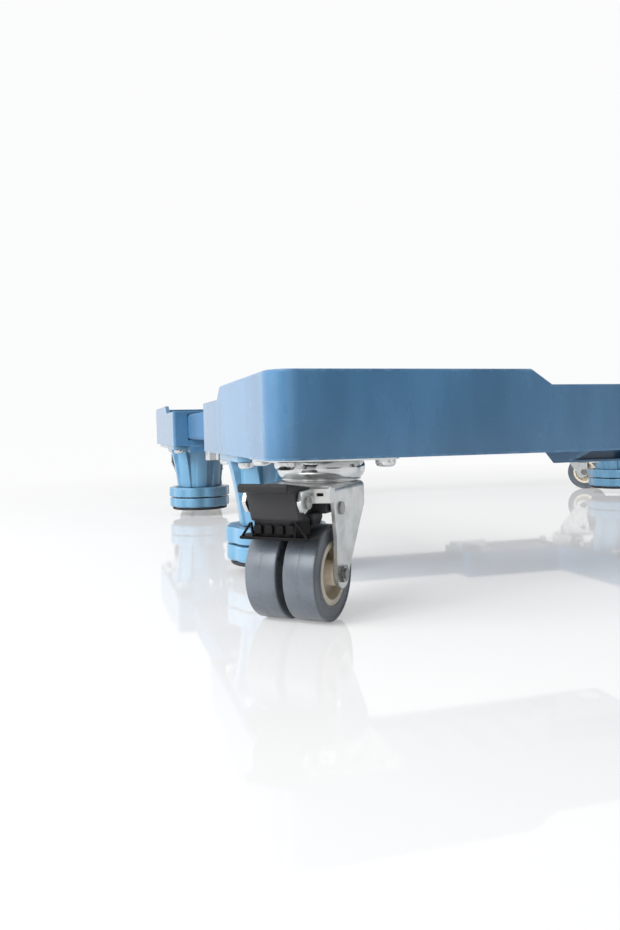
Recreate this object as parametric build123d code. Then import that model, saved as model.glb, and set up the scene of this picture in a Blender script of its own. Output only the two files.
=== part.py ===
from build123d import *
import os
from math import atan2, cos, radians, sin, tan

# Adjustable mobile base for a heavy household appliance. Four moulded corner brackets are joined by
# telescopic bars, and each bracket has a braked twin-wheel caster and a screw foot.
# Millimetres, +Z up, origin on the floor under the middle of the base.

# Openings between facing arm tips, as the base stands.
front_opening = 200.0
side_opening = 228.0
closed_gap = 2.0

# Corner bracket: an L of two hollow arms under a flat deck, with a rim round the outer corner.
arm_length = 230.0
arm_width = 75.0
arm_height = 37.5
corner_radius = 15.0
inner_radius = 12.0
tip_radius = 3.0
least_radius = 0.5
wall = 4.0
deck = 3.0
rib = 2.5
rib_pitch = 26.0
rim_height = 8.5
rim_wall = 4.0
rim_length = 146.5
rim_ramp = 13.0
edge_round = 1.0

# Telescopic bar and the socket that it slides in.
bar_width = 43.0
bar_height = 27.0
bar_wall = 2.5
bar_edge = 3.0
bar_clearance = 0.4
bar_stop = 3.0
socket_wall = 3.0

# Boss under each arm tip, and the bolt in it that locks the bar.
boss_drop = 7.0
boss_width = 40.0
boss_slope = 6.0
front_boss_length = 64.0
side_boss_length = 38.0
pocket_start = 20.0
pocket_slope = 14.0
pocket_depth = 8.0
pocket_lip = 1.2
lock_from_tip = 16.0
lock_shift = 6.0
lock_radius = 4.0
lock_head_radius = 7.2
lock_head_height = 9.5
lock_tip_gap = 0.3

# Screws with domed heads, driven up into bosses of the bracket.
screw_radius = 2.4
screw_length = 22.0
screw_head_radius = 5.5
screw_head_height = 4.0
screw_dome = 2.5
screw_boss_radius = 5.0
slot_length = 5.5
slot_width = 1.3
slot_depth = 1.6
screw_hole_clearance = 0.3
thread_clearance = 0.05

# Caster wheels, two side by side on one axle.
wheel_radius = 25.0
wheel_width = 17.3
wheel_gap = 3.8
tyre_depth = 8.3
tyre_shoulder = 0.7
hub_lip = 3.2
hub_boss_radius = 6.5
hub_recess = 6.0
hub_inner_recess = 2.0
axle_radius = 2.6
running_clearance = 0.06
collar_radius = 6.0
side_clearance = 0.3

# Caster fork: a folded channel whose tapered legs hold the axle near their front edge.
trail = 30.0
fork_sheet = 2.0
fork_side_gap = 2.0
fork_bend = 3.2
fork_back = 5.1
fork_back_drop = 12.3
fork_end_radius = 8.2
fork_end_behind = 3.2
fork_waist_rise = 18.0
fork_waist_ahead = 4.6
fork_front_reach = 8.5

# Ears of the fork, set inwards by a jog on each side, that hold the pedal.
arm_reach = 4.3
jog_length = 2.4
jog_slot_width = 3.2
jog_slot_height = 1.6
jog_slot_drop = 3.2
ear_top_drop = 1.2
ear_arm_depth = 7.0
ear_above_pivot = 7.0
ear_behind = 5.8
ear_top_ahead = 5.0
ear_ahead = 7.9
ear_tip_ahead = 3.7
ear_tip_drop = 5.6
ear_round = 2.0

# Brake pedal and its pivot, at a distance in front of the tread. Its points are set from the pivot.
pivot_gap = 20.0
pivot_angle = 58.3
brake_travel = 12.0
pedal_pin_radius = 2.0
pedal_side_gap = 0.5
pedal_width = 27.0
lip_reach = 16.5
lip_rise = 10.2
lip_depth = 4.6
lip_sheet = 7.5
face_foot = 3.5
face_drop = 9.3
pedal_back = 9.7
pedal_back_rise = 6.7
pedal_back_sheet = 2.5
tail_reach = 20.5
tail_drop = 10.0
tail_top = 2.0
tail_bar_front = 13.0
tail_bar_drop = 6.8
tail_bar_gap = 1.2
neck_width = 22.0
neck_back = 2.0
shoe_front = 5.8
shoe_top = 15.6
shoe_drop = 18.2
shoe_nose = 1.5
shoe_end_gap = 0.3
shoe_side_gap = 2.2
wing_peak = 12.0
wing_foot = 3.0
wing_rise = 9.4
wing_rim = 1.3
wing_sheet = 1.6
gusset_root = 8.0
gusset_peak = 12.8
gusset_top = 5.0
gusset_shoulder = 12.5
gusset_bevel = 3.0
gusset_back = 4.0
stud_count = 4
stud_pitch = 6.0
stud_width = 4.4
stud_height = 4.6
stud_depth = 1.6

# Rivets, and the nut on the axle.
stop_pin_behind = 1.3
stop_pin_gap = 6.3
rivet_head_radius = 3.3
rivet_head_height = 1.0
nut_sides = 6
nut_radius = 4.7
nut_height = 2.6
bolt_end = 0.9

# Swivel: plate, ball race and king pin.
plate_margin = 2.5
plate_sheet = 2.5
plate_seat = 1.5
plate_radius = 8.0
plate_clearance = 0.3
plate_screw_inset = 7.5
cup_height = 9.7
cup_mouth_radius = 20.5
cup_belly_radius = 23.0
cup_bore_radius = 19.0
cup_roof = 2.8
race_height = 2.0
race_radius = 20.0
race_cone_radius = 13.2
race_cone_height = 6.5
ball_radius = 2.4
ball_track_radius = 16.1
ball_lift = 0.4
ball_count = 14
king_pin_radius = 6.0
king_head_radius = 9.0
king_head_height = 3.0
king_head_gap = 0.2
king_ring_wall = 3.5

# Screw foot: flanged column, lock ring, foot ring with its stem, and rubber sole.
foot_from_tip = 82.0
foot_lift = 7.4
sole_thickness = 2.6
sole_radius = 32.0
sole_gap = 0.3
spigot_radius = 8.0
spigot_height = 7.5
foot_ring_radius = 35.0
foot_ring_height = 10.9
lock_ring_gap = 1.5
lock_ring_radius = 35.5
lock_ring_height = 10.8
column_gap = 0.3
lobe_count = 10
lobe_radius = 13.0
lobe_rise = 2.0
ring_chamfer = 1.0
stem_radius = 10.0
stem_rise = 53.5
stem_clearance = 0.35
flange_margin = 4.5
flange_length = 84.0
flange_thickness = 5.0
flange_radius = 9.0
flange_screw_inset = 6.0
column_top_radius = 26.5
column_foot_radius = 24.0
column_rib_count = 8
column_rib_width = 13.0
column_rib_top = 32.8
column_rib_foot = 25.5
column_rib_waist = 28.2

# Corner signs along X and Y, and the way each caster happens to be turned about its swivel axis.
caster_turn = 40.6
half_turn = 180.0
corners = {
    "front_left": (-1, -1, -caster_turn),
    "front_right": (1, -1, half_turn - caster_turn),
    "back_left": (-1, 1, half_turn - caster_turn),
    "back_right": (1, 1, caster_turn),
}

# Heights that follow from the sizes above.
axle_height = wheel_radius
pivot_height = axle_height + (wheel_radius + pivot_gap) * sin(radians(pivot_angle))
pivot_ahead = trail + (wheel_radius + pivot_gap) * cos(radians(pivot_angle))
fork_top = pivot_height + ear_above_pivot
race_top = fork_top + race_height
plate_bottom = race_top + cup_height
plate_top = plate_bottom + plate_sheet
frame_bottom = plate_top - plate_seat
frame_top = frame_bottom + arm_height
deck_bottom = frame_top - deck
bar_top = deck_bottom - bar_clearance
bar_bottom = bar_top - bar_height
socket_floor = bar_bottom - bar_clearance
boss_bottom = frame_bottom - boss_drop
flange_bottom = frame_bottom - flange_thickness
sole_top = foot_lift + sole_thickness
foot_ring_bottom = sole_top + sole_gap
foot_ring_top = foot_ring_bottom + foot_ring_height
lock_ring_bottom = foot_ring_top + lock_ring_gap
lock_ring_top = lock_ring_bottom + lock_ring_height
column_bottom = lock_ring_top + column_gap

# Plan sizes that follow from the sizes above.
base_width = 2 * arm_length + front_opening
base_depth = 2 * arm_length + side_opening
axis_offset = arm_width / 2
socket_start = arm_width + socket_wall
bar_length = 2 * (arm_length - socket_start - bar_stop) + closed_gap
foot_station = arm_length - foot_from_tip
plate_size = arm_width - 2 * plate_margin
plate_screw_offset = plate_size / 2 - plate_screw_inset
flange_width = arm_width - 2 * flange_margin
flange_screw_x = flange_width / 2 - flange_screw_inset
flange_screw_y = flange_length / 2 - flange_screw_inset
lock_station = arm_length - lock_from_tip
hub_radius = wheel_radius - tyre_depth
wheel_offset = (wheel_gap + wheel_width) / 2
leg_inner = wheel_gap / 2 + wheel_width + fork_side_gap
leg_outer = leg_inner + fork_sheet
leg_front = -trail - fork_front_reach
jog_start = leg_front - arm_reach
ear_inner = pedal_width / 2 + pedal_side_gap
ear_outer = ear_inner + fork_sheet
diagonal = Plane((0, 0, 0), z_dir=(1, -1, 0))


def block(x0, x1, y0, y1, z0, z1):
    """Box between two corners."""
    centre = Pos((x0 + x1) / 2, (y0 + y1) / 2, (z0 + z1) / 2)
    return centre * Box(x1 - x0, y1 - y0, z1 - z0)


def disc(radius, z0, z1):
    """Upright cylinder on the Z axis."""
    return Pos(0, 0, (z0 + z1) / 2) * Cylinder(radius, z1 - z0)


def rod(radius, x0, x1):
    """Cylinder along the X axis."""
    return Rot(0, 90, 0) * disc(radius, x0, x1)


def outline(points):
    """Flat face inside a closed run of straight lines."""
    return make_face(Polyline(*points, close=True))


def prism_x(face, x0, x1):
    """Face drawn in Y and Z, carried along X."""
    return Pos(x0, 0, 0) * extrude(Plane.YZ * face, x1 - x0)


def prism_y(face, y0, y1):
    """Face drawn in X and Z, carried along Y."""
    return Pos(0, y1, 0) * extrude(Plane.XZ * face, y1 - y0)


def turned(face):
    """Face drawn in radius and height, turned about the Z axis."""
    return revolve(Plane.XZ * face, Axis.Z)


def square_points(half_x, half_y):
    """Four points of a rectangular pattern about the origin."""
    return [(sx * half_x, sy * half_y) for sx in (-1, 1) for sy in (-1, 1)]


def plate_screw_points():
    """Caster screws in the bracket's frame."""
    around = square_points(plate_screw_offset, plate_screw_offset)
    return [(axis_offset + x, axis_offset + y) for x, y in around]


def flange_screw_points():
    """Foot flange screws in the bracket's frame, on the arm along Y."""
    around = square_points(flange_screw_x, flange_screw_y)
    return [(axis_offset + x, foot_station + y) for x, y in around]


def lock_points():
    """Lock bolts in the bracket's frame, one under each arm tip."""
    inwards = axis_offset + lock_shift
    return [(lock_station, inwards), (inwards, lock_station)]


def l_face(inset):
    """L-shaped outline of the bracket with its sides moved inwards."""
    near = inset
    far = arm_width - inset
    tip = arm_length - inset
    points = [(near, near), (tip, near), (tip, far), (far, far), (far, tip), (near, tip)]
    outer = max(corner_radius - inset, least_radius)
    end = max(tip_radius - inset, least_radius)
    radii = [outer, end, end, inner_radius + inset, end, end]
    return make_face(FilletPolyline(*points, radius=radii, close=True))


def bracket_shell():
    """Deck and side walls of the bracket, open below."""
    outer = extrude(Pos(0, 0, frame_bottom) * l_face(0), arm_height)
    outer = fillet(outer.edges().group_by(Axis.Z)[-1], edge_round)
    hollow = extrude(Pos(0, 0, frame_bottom) * l_face(wall), arm_height - deck)
    return outer - hollow


def bracket_rim():
    """Upstand along the two outer sides, ramped down at its ends."""
    height = deck + rim_height
    ring = extrude(Pos(0, 0, deck_bottom) * (l_face(0) - l_face(rim_wall)), height)
    top = deck_bottom + height
    foot = rim_length + rim_ramp
    side = outline([(0, deck_bottom), (foot, deck_bottom), (foot, frame_top), (rim_length, top), (0, top)])
    along_x = prism_y(side, 0, corner_radius)
    rim = ring & (along_x + mirror(along_x, about=diagonal))
    return fillet(rim.edges().group_by(Axis.Z)[-1], edge_round)


def arm_socket():
    """Sleeve for a bar in the arm along X, with the ribs across that arm."""
    half = bar_width / 2 + bar_clearance + socket_wall
    low = socket_floor - socket_wall
    high = deck_bottom + deck / 2
    sleeve = block(arm_width, arm_length - wall / 2, axis_offset - half, axis_offset + half, low, high)
    count = int((arm_length - wall - socket_start) // rib_pitch)
    for index in range(count):
        middle = socket_start + rib_pitch * (index + 1)
        low_x = middle - rib / 2
        sleeve += block(low_x, low_x + rib, wall / 2, arm_width - wall / 2, frame_bottom, high)
    return sleeve


def socket_bore():
    """Hollow of the sleeve in the arm along X, open at the tip."""
    half = bar_width / 2 + bar_clearance
    past_tip = arm_length + wall
    return block(socket_start, past_tip, axis_offset - half, axis_offset + half, socket_floor, deck_bottom)


def tip_boss(length):
    """Thick boss under the sleeve at the tip of the arm along X, with a sloping start."""
    start = arm_length - length
    high = socket_floor - socket_wall / 2
    points = [
        (start, high),
        (start, frame_bottom),
        (start + boss_slope, boss_bottom),
        (arm_length, boss_bottom),
        (arm_length, high),
    ]
    return prism_y(outline(points), axis_offset - boss_width / 2, axis_offset + boss_width / 2)


def boss_pocket():
    """Pocket that lightens the outer flank of the front boss."""
    start = arm_length - front_boss_length + pocket_start
    end = arm_length - wall
    low = boss_bottom + pocket_lip
    points = [(start, low), (start + pocket_slope, frame_bottom), (end, frame_bottom), (end, low)]
    flank = axis_offset - boss_width / 2
    return prism_y(outline(points), flank - wall, flank + pocket_depth)


def caster_seat():
    """Ribs and bosses over the caster plate."""
    low = frame_bottom + plate_seat
    high = deck_bottom + deck / 2
    centre = Pos(axis_offset, axis_offset, 0)
    ring_radius = king_head_radius + king_ring_wall
    seat = centre * disc(ring_radius + rib, low, high)
    seat += block(axis_offset - rib / 2, axis_offset + rib / 2, wall / 2, socket_start, low, high)
    seat += block(wall / 2, socket_start, axis_offset - rib / 2, axis_offset + rib / 2, low, high)
    for x, y in plate_screw_points():
        seat += Pos(x, y, 0) * disc(screw_boss_radius, low, high)
    return seat - centre * disc(ring_radius, low - rib, deck_bottom)


def bracket():
    """Corner bracket with its outer corner on the Z axis and its arms along +X and +Y."""
    body = bracket_shell() + bracket_rim() + caster_seat()
    sleeve = arm_socket()
    body += sleeve + mirror(sleeve, about=diagonal)
    body += tip_boss(front_boss_length) - boss_pocket()
    body += mirror(tip_boss(side_boss_length), about=diagonal)
    for x, y in flange_screw_points():
        body += Pos(x, y, 0) * disc(screw_boss_radius, frame_bottom, deck_bottom + deck / 2)
    body -= socket_bore()
    body -= mirror(socket_bore(), about=diagonal)
    seat_face = RectangleRounded(
        plate_size + 2 * plate_clearance,
        plate_size + 2 * plate_clearance,
        plate_radius + plate_clearance,
    )
    seat_cut = extrude(Pos(axis_offset, axis_offset, frame_bottom - plate_seat) * seat_face, 2 * plate_seat)
    body -= seat_cut
    pilot = disc(screw_radius + thread_clearance, frame_bottom - wall, frame_bottom + screw_length)
    for x, y in plate_screw_points() + flange_screw_points():
        body -= Pos(x, y, 0) * pilot
    lock_hole = disc(lock_radius + thread_clearance, boss_bottom - wall, socket_floor + wall)
    for x, y in lock_points():
        body -= Pos(x, y, 0) * lock_hole
    return body


def domed_screw(seat):
    """Domed screw with a cross recess, its head under the height that it bears on."""
    low = seat - screw_head_height
    head = disc(screw_head_radius, low, seat)
    head = fillet(head.edges().group_by(Axis.Z)[0], screw_dome)
    head -= block(-slot_length / 2, slot_length / 2, -slot_width / 2, slot_width / 2, low, low + slot_depth)
    head -= block(-slot_width / 2, slot_width / 2, -slot_length / 2, slot_length / 2, low, low + slot_depth)
    return head + disc(screw_radius, seat, seat + screw_length - thread_clearance)


def lock_bolt():
    """Hexagon bolt that presses up on the bar."""
    low = boss_bottom - lock_head_height
    head = extrude(Pos(0, 0, low) * RegularPolygon(lock_head_radius, nut_sides), lock_head_height)
    return head + disc(lock_radius, boss_bottom, bar_bottom - lock_tip_gap)


def bracket_screws():
    """All screws and bolts that stay with one bracket."""
    caster_screw = domed_screw(plate_bottom)
    foot_screw = domed_screw(flange_bottom)
    bolt = lock_bolt()
    pieces = [Pos(x, y, 0) * caster_screw for x, y in plate_screw_points()]
    pieces += [Pos(x, y, 0) * foot_screw for x, y in flange_screw_points()]
    pieces += [Pos(x, y, 0) * bolt for x, y in lock_points()]
    return Compound(children=[piece.solid() for piece in pieces])


def foot_column():
    """Flanged column of the foot, tapered and ribbed, bored for the stem."""
    face = RectangleRounded(flange_width, flange_length, flange_radius)
    column = extrude(Pos(0, 0, flange_bottom) * face, flange_thickness)
    height = flange_bottom - column_bottom
    column += Pos(0, 0, column_bottom + height / 2) * Cone(column_foot_radius, column_top_radius, height)
    low = (column_rib_foot, column_bottom)
    waist = (column_rib_waist, column_bottom + height / 2)
    high = (column_rib_top, flange_bottom)
    edges = [
        Line((0, column_bottom), low),
        ThreePointArc(low, waist, high),
        Line(high, (0, flange_bottom)),
        Line((0, flange_bottom), (0, column_bottom)),
    ]
    flare = turned(make_face(edges))
    half = column_rib_width / 2
    for index in range(column_rib_count // 2):
        bar = block(-column_rib_top, column_rib_top, -half, half, column_bottom, flange_bottom)
        column += flare & (Rot(0, 0, index * 2 * half_turn / column_rib_count) * bar)
    column -= disc(stem_radius + stem_clearance, column_bottom, frame_bottom)
    hole = disc(screw_radius + screw_hole_clearance, flange_bottom, frame_bottom)
    for x, y in square_points(flange_screw_x, flange_screw_y):
        column -= Pos(x, y, 0) * hole
    return Pos(axis_offset, foot_station, 0) * column


def lobed_ring(radius, low, high):
    """Hand ring with lobes round its edge."""
    face = Circle(radius - lobe_rise)
    for place in PolarLocations(radius - lobe_radius, lobe_count):
        face += place * Circle(lobe_radius)
    ring = extrude(Pos(0, 0, low) * face, high - low)
    rims = ring.edges().group_by(Axis.Z)
    return chamfer(rims[0] + rims[-1], ring_chamfer)


def lock_ring():
    """Ring that jams against the column to lock the foot's height."""
    ring = lobed_ring(lock_ring_radius, lock_ring_bottom, lock_ring_top)
    ring -= disc(stem_radius + stem_clearance, lock_ring_bottom, lock_ring_top)
    return Pos(axis_offset, foot_station, 0) * ring


def foot_screw():
    """Foot ring and the threaded stem above it, turned by hand to set the height."""
    ring = lobed_ring(foot_ring_radius, foot_ring_bottom, foot_ring_top)
    ring += disc(stem_radius, foot_ring_top, foot_ring_top + stem_rise)
    socket_top = foot_ring_bottom + spigot_height
    ring -= disc(spigot_radius + stem_clearance, foot_ring_bottom, socket_top)
    return Pos(axis_offset, foot_station, 0) * ring


def foot_sole():
    """Rubber sole, with a spigot on which the foot ring turns."""
    sole = disc(sole_radius, foot_lift, sole_top)
    sole += disc(spigot_radius, sole_top, sole_top + spigot_height)
    return Pos(axis_offset, foot_station, 0) * sole


def caster_plate():
    """Screwed plate with the upper ball cup under it."""
    face = RectangleRounded(plate_size, plate_size, plate_radius)
    plate = extrude(Pos(0, 0, plate_bottom) * face, plate_sheet)
    middle = plate_bottom - cup_height / 2
    high = (cup_mouth_radius, plate_bottom)
    low = (cup_mouth_radius, race_top + side_clearance)
    edges = [
        ThreePointArc(high, (cup_belly_radius, middle), low),
        Line(low, (0, race_top + side_clearance)),
        Line((0, race_top + side_clearance), (0, plate_bottom)),
        Line((0, plate_bottom), high),
    ]
    plate += turned(make_face(edges))
    plate -= disc(cup_bore_radius, race_top, plate_bottom - cup_roof)
    plate -= disc(king_pin_radius + running_clearance, race_top, plate_top)
    hole = disc(screw_radius + screw_hole_clearance, plate_bottom, plate_top)
    for x, y in square_points(plate_screw_offset, plate_screw_offset):
        plate -= Pos(x, y, 0) * hole
    return Pos(axis_offset, axis_offset, 0) * plate


def fork_section():
    """Folded channel seen along Y: two legs and the top between them."""
    outer_points = [(-leg_outer, 0), (leg_outer, 0), (leg_outer, fork_top), (-leg_outer, fork_top)]
    roof = fork_top - fork_sheet
    inner_points = [(-leg_inner, 0), (leg_inner, 0), (leg_inner, roof), (-leg_inner, roof)]
    inner_bend = max(fork_bend - fork_sheet, least_radius)
    outer_line = FilletPolyline(*outer_points, radius=[0, 0, fork_bend, fork_bend], close=True)
    inner_line = FilletPolyline(*inner_points, radius=[0, 0, inner_bend, inner_bend], close=True)
    return make_face(outer_line) - make_face(inner_line)


def fork_side():
    """Outline of a leg seen along X, tapering to a round end at the axle."""
    end_y = fork_end_behind - trail
    leg = outline([
        (fork_back, fork_top),
        (fork_back, fork_top - fork_back_drop),
        (end_y + fork_end_radius, axle_height),
        (end_y - fork_end_radius, axle_height),
        (-trail - fork_waist_ahead, axle_height + fork_waist_rise),
        (leg_front, fork_top - fork_bend),
        (leg_front, fork_top),
    ])
    return leg + Pos(end_y, axle_height) * Circle(fork_end_radius)


def ear_plan():
    """Arm and ear on one side seen from above: out of the leg, through the jog, to the ear."""
    root = leg_front + fork_sheet
    tip = -pivot_ahead - ear_ahead
    turn = atan2(leg_inner - ear_inner, jog_length)
    shift = fork_sheet * tan(turn / 2)
    return outline([
        (leg_outer, root),
        (leg_outer, jog_start),
        (ear_outer, jog_start - jog_length),
        (ear_outer, tip),
        (ear_inner, tip),
        (ear_inner, jog_start - jog_length + shift),
        (leg_inner, jog_start + shift),
        (leg_inner, root),
    ])


def ear_side():
    """Outline of the arm and ear seen along X. The ear leans forward and ends in a blunt tip below."""
    pivot_y = -pivot_ahead
    root = leg_front + fork_sheet
    high = fork_top - ear_top_drop
    low = high - ear_arm_depth
    arm = outline([(root, high), (root, low), (pivot_y, low), (pivot_y, high)])
    points = [
        (pivot_y + ear_behind, high),
        (pivot_y - ear_top_ahead, high),
        (pivot_y - ear_ahead, pivot_height),
        (pivot_y - ear_tip_ahead, pivot_height - ear_tip_drop),
        (pivot_y + ear_behind, low),
    ]
    radii = [0, ear_round, ear_round, ear_round, 0]
    return arm + make_face(FilletPolyline(*points, radius=radii, close=True))


def fork_ear():
    """Arm and ear on the right side, with a slot through the jog."""
    raised = extrude(Pos(0, 0, axle_height) * ear_plan(), fork_top - axle_height)
    ear = raised & prism_x(ear_side(), 0, leg_outer)
    middle = (leg_outer + ear_inner) / 2
    slot_top = fork_top - jog_slot_drop
    front = jog_start - jog_length
    back = jog_start + fork_sheet
    half = jog_slot_width / 2
    return ear - block(middle - half, middle + half, front, back, slot_top - jog_slot_height, slot_top)


def at_axle(shape):
    """Moves a shape on the X axis to the axle."""
    return Pos(0, -trail, axle_height) * shape


def at_pivot(shape):
    """Moves a shape on the X axis to the pedal's pivot."""
    return Pos(0, -pivot_ahead, pivot_height) * shape


def at_stop(shape):
    """Moves a shape on the X axis to the stop pin over the wheels."""
    height = axle_height + wheel_radius + stop_pin_gap + pedal_pin_radius
    return Pos(0, stop_pin_behind - trail, height) * shape


def caster_fork():
    """Folded fork with the lower ball race on top, in the caster's own frame."""
    channel = prism_y(fork_section(), leg_front, fork_back)
    fork = channel & prism_x(fork_side(), -leg_outer, leg_outer)
    ear = fork_ear()
    fork += ear
    fork += mirror(ear, about=Plane.YZ)
    fork += disc(race_radius, fork_top, race_top)
    fork += disc(race_cone_radius, race_top, race_top + race_cone_height)
    fork -= disc(king_pin_radius + thread_clearance, fork_top - fork_sheet, race_top + race_cone_height)
    fork -= at_axle(rod(axle_radius + thread_clearance, -leg_outer, leg_outer))
    pin_hole = rod(pedal_pin_radius + thread_clearance, -leg_outer, leg_outer)
    fork -= at_pivot(pin_hole)
    return fork - at_stop(pin_hole)


def riveted_pin(reach):
    """Cross pin with a head outside each of the two sheets that it joins."""
    pin = rod(pedal_pin_radius, -reach, reach)
    pin += rod(rivet_head_radius, reach, reach + rivet_head_height)
    return pin + rod(rivet_head_radius, -reach - rivet_head_height, -reach)


def hexagon(x0, x1):
    """Hexagon prism along the X axis."""
    return prism_x(RegularPolygon(nut_radius, nut_sides), x0, x1)


def caster_pins():
    """Axle bolt, its nut, the cross pins, the king pin and the bearing balls of one caster."""
    half_collar = wheel_gap / 2 - side_clearance
    bolt = rod(axle_radius, -leg_outer, leg_outer + nut_height + bolt_end)
    bolt += rod(collar_radius, -half_collar, half_collar)
    bolt += hexagon(-leg_outer - nut_height, -leg_outer)
    nut = hexagon(leg_outer, leg_outer + nut_height)
    nut -= rod(axle_radius + thread_clearance, leg_outer, leg_outer + nut_height)
    king_low = fork_top - fork_sheet
    king_high = plate_top + king_head_gap
    king = disc(king_pin_radius, king_low, king_high)
    king += disc(king_head_radius, king_low - king_head_height, king_low)
    king += disc(king_head_radius, king_high, king_high + king_head_height)
    ball_height = race_top + ball_lift + ball_radius
    balls = [
        place * Pos(0, 0, ball_height) * Sphere(ball_radius)
        for place in PolarLocations(ball_track_radius, ball_count)
    ]
    pieces = [at_axle(bolt), at_axle(nut), king] + balls
    pieces += [at_pivot(riveted_pin(ear_outer)), at_stop(riveted_pin(leg_outer))]
    return Compound(children=[piece.solid() for piece in pieces])


def pedal_body():
    """Lip, top, sloping face and tail of the pedal. The tail ends in a bar across, under the fork's top."""
    points = [
        (-lip_reach, lip_rise),
        (-lip_reach, lip_rise - lip_depth),
        (lip_sheet - lip_reach, lip_rise - lip_depth),
        (-face_foot, -face_drop),
        (neck_back, -face_drop),
        (tail_reach, -tail_drop),
        (tail_reach, -tail_top),
        (pedal_back, pedal_back_rise - pedal_back_sheet),
        (pedal_back, pedal_back_rise),
    ]
    body = prism_x(outline(points), -pedal_width / 2, pedal_width / 2)
    half = leg_inner - tail_bar_gap
    return body + block(-half, half, tail_bar_front, tail_reach, -tail_bar_drop, -tail_top)


def pedal_shoe():
    """Neck and brake shoe. The shoe's nose comes nearest to the treads at the end of its travel."""
    half_neck = neck_width / 2
    neck = [
        (-face_foot, -face_drop),
        (-face_foot, -shoe_drop),
        (neck_back, -shoe_drop),
        (neck_back, -face_drop),
    ]
    shoe = prism_x(outline(neck), -half_neck, half_neck)
    reach = pivot_gap - shoe_end_gap
    angle = radians(pivot_angle + brake_travel)
    nose_y = reach * cos(angle)
    nose_z = -reach * sin(angle)
    bar = [
        (-shoe_front, -shoe_top),
        (-shoe_front, -shoe_drop),
        (nose_y, nose_z),
        (nose_y, nose_z + shoe_nose),
        (neck_back, -shoe_top),
    ]
    half_shoe = leg_inner - shoe_side_gap
    return shoe + prism_x(outline(bar), -half_shoe, half_shoe)


def pedal_wing():
    """Thin open triangle that stiffens the right end of the shoe."""
    corner = leg_inner - shoe_side_gap
    face = outline([(wing_peak, -wing_rise), (corner, -shoe_drop), (wing_foot, -shoe_drop)])
    rim = face - offset(face, amount=-wing_rim, kind=Kind.INTERSECTION)
    return prism_y(rim, -shoe_front, wing_sheet - shoe_front)


def pedal_gusset():
    """Bevelled flank that widens the right side of the pedal down to the end of the shoe."""
    corner = leg_inner - shoe_side_gap
    from_above = outline([
        (gusset_root, -face_foot),
        (neck_width / 2, -face_foot),
        (corner, gusset_bevel),
        (corner, gusset_back),
        (gusset_root, gusset_back),
    ])
    from_front = outline([
        (gusset_root, -gusset_top),
        (gusset_peak, -gusset_top),
        (corner, -gusset_shoulder),
        (corner, -shoe_drop),
        (gusset_root, -shoe_drop),
    ])
    raised = extrude(Pos(0, 0, -shoe_drop) * from_above, shoe_drop)
    return raised & prism_y(from_front, -face_foot, gusset_back)


def brake_pedal():
    """Moulded pedal: lip, sloping face, tail, and a shoe across both treads."""
    pedal = pedal_body() + pedal_shoe()
    flank = pedal_wing() + pedal_gusset()
    pedal += flank
    pedal += mirror(flank, about=Plane.YZ)
    stud_high = -face_drop - wing_sheet
    for index in range(stud_count):
        middle = (index - (stud_count - 1) / 2) * stud_pitch
        pedal += block(
            middle - stud_width / 2,
            middle + stud_width / 2,
            -face_foot - stud_depth,
            -face_foot,
            stud_high - stud_height,
            stud_high,
        )
    half = pedal_width / 2
    pedal -= rod(pedal_pin_radius + running_clearance, -half, half)
    return at_pivot(pedal)


def tyre():
    """Solid tyre on the Z axis, with rounded shoulders."""
    ring = disc(wheel_radius, -wheel_width / 2, wheel_width / 2)
    ring = fillet(ring.edges().filter_by(GeomType.CIRCLE), tyre_shoulder)
    return ring - disc(hub_radius, -wheel_width / 2, wheel_width / 2)


def hub():
    """Wheel hub on the Z axis, dished on both faces, with a boss that reaches up to the fork's leg."""
    half = wheel_width / 2
    boss_top = half + fork_side_gap - side_clearance
    dish_radius = hub_radius - hub_lip
    body = disc(hub_radius, -half, half)
    body -= disc(dish_radius, half - hub_recess, half)
    body -= disc(dish_radius, -half, hub_inner_recess - half)
    body += disc(hub_boss_radius, -half, boss_top)
    return body - disc(axle_radius + running_clearance, -half, boss_top)


def on_axle(shape, side):
    """Turns a wheel piece onto the axle, on the side of the caster with the given sign."""
    return at_axle(Pos(side * wheel_offset, 0, 0) * Rot(0, side * 90, 0) * shape)


def telescopic_bar(along_y):
    """Rectangular tube, centred on its length."""
    face = RectangleRounded(bar_width, bar_height, bar_edge)
    inner_edge = max(bar_edge - bar_wall, least_radius)
    face -= RectangleRounded(bar_width - 2 * bar_wall, bar_height - 2 * bar_wall, inner_edge)
    tube = prism_x(face, -bar_length / 2, bar_length / 2)
    raised = Pos(0, 0, bar_bottom + bar_height / 2) * tube
    return Rot(0, 0, 90) * raised if along_y else raised


def in_corner(shape, side_x, side_y):
    """Carries a shape from the bracket's frame to one corner, mirrored to suit."""
    if side_x > 0:
        shape = mirror(shape, about=Plane.YZ)
    if side_y > 0:
        shape = mirror(shape, about=Plane.XZ)
    return Pos(side_x * base_width / 2, side_y * base_depth / 2, 0) * shape


def on_swivel(shape, side_x, side_y, turn):
    """Carries a shape from the caster's frame to one corner, turned about the swivel axis."""
    x = side_x * (base_width / 2 - axis_offset)
    y = side_y * (base_depth / 2 - axis_offset)
    return Pos(x, y, 0) * Rot(0, 0, turn) * shape


def save(name, shape):
    """Writes one piece."""
    export_step(shape, f"parts/{name}.step")


def save_corner_pieces():
    """Writes the pieces that are mirrored from corner to corner."""
    pieces = {
        "corner_bracket": bracket(),
        "bracket_screws": bracket_screws(),
        "foot_column": foot_column(),
        "lock_ring": lock_ring(),
        "foot_screw": foot_screw(),
        "foot_sole": foot_sole(),
        "caster_plate": caster_plate(),
    }
    for piece, shape in pieces.items():
        for corner, (side_x, side_y, _) in corners.items():
            save(f"{piece}_{corner}", in_corner(shape, side_x, side_y))


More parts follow.
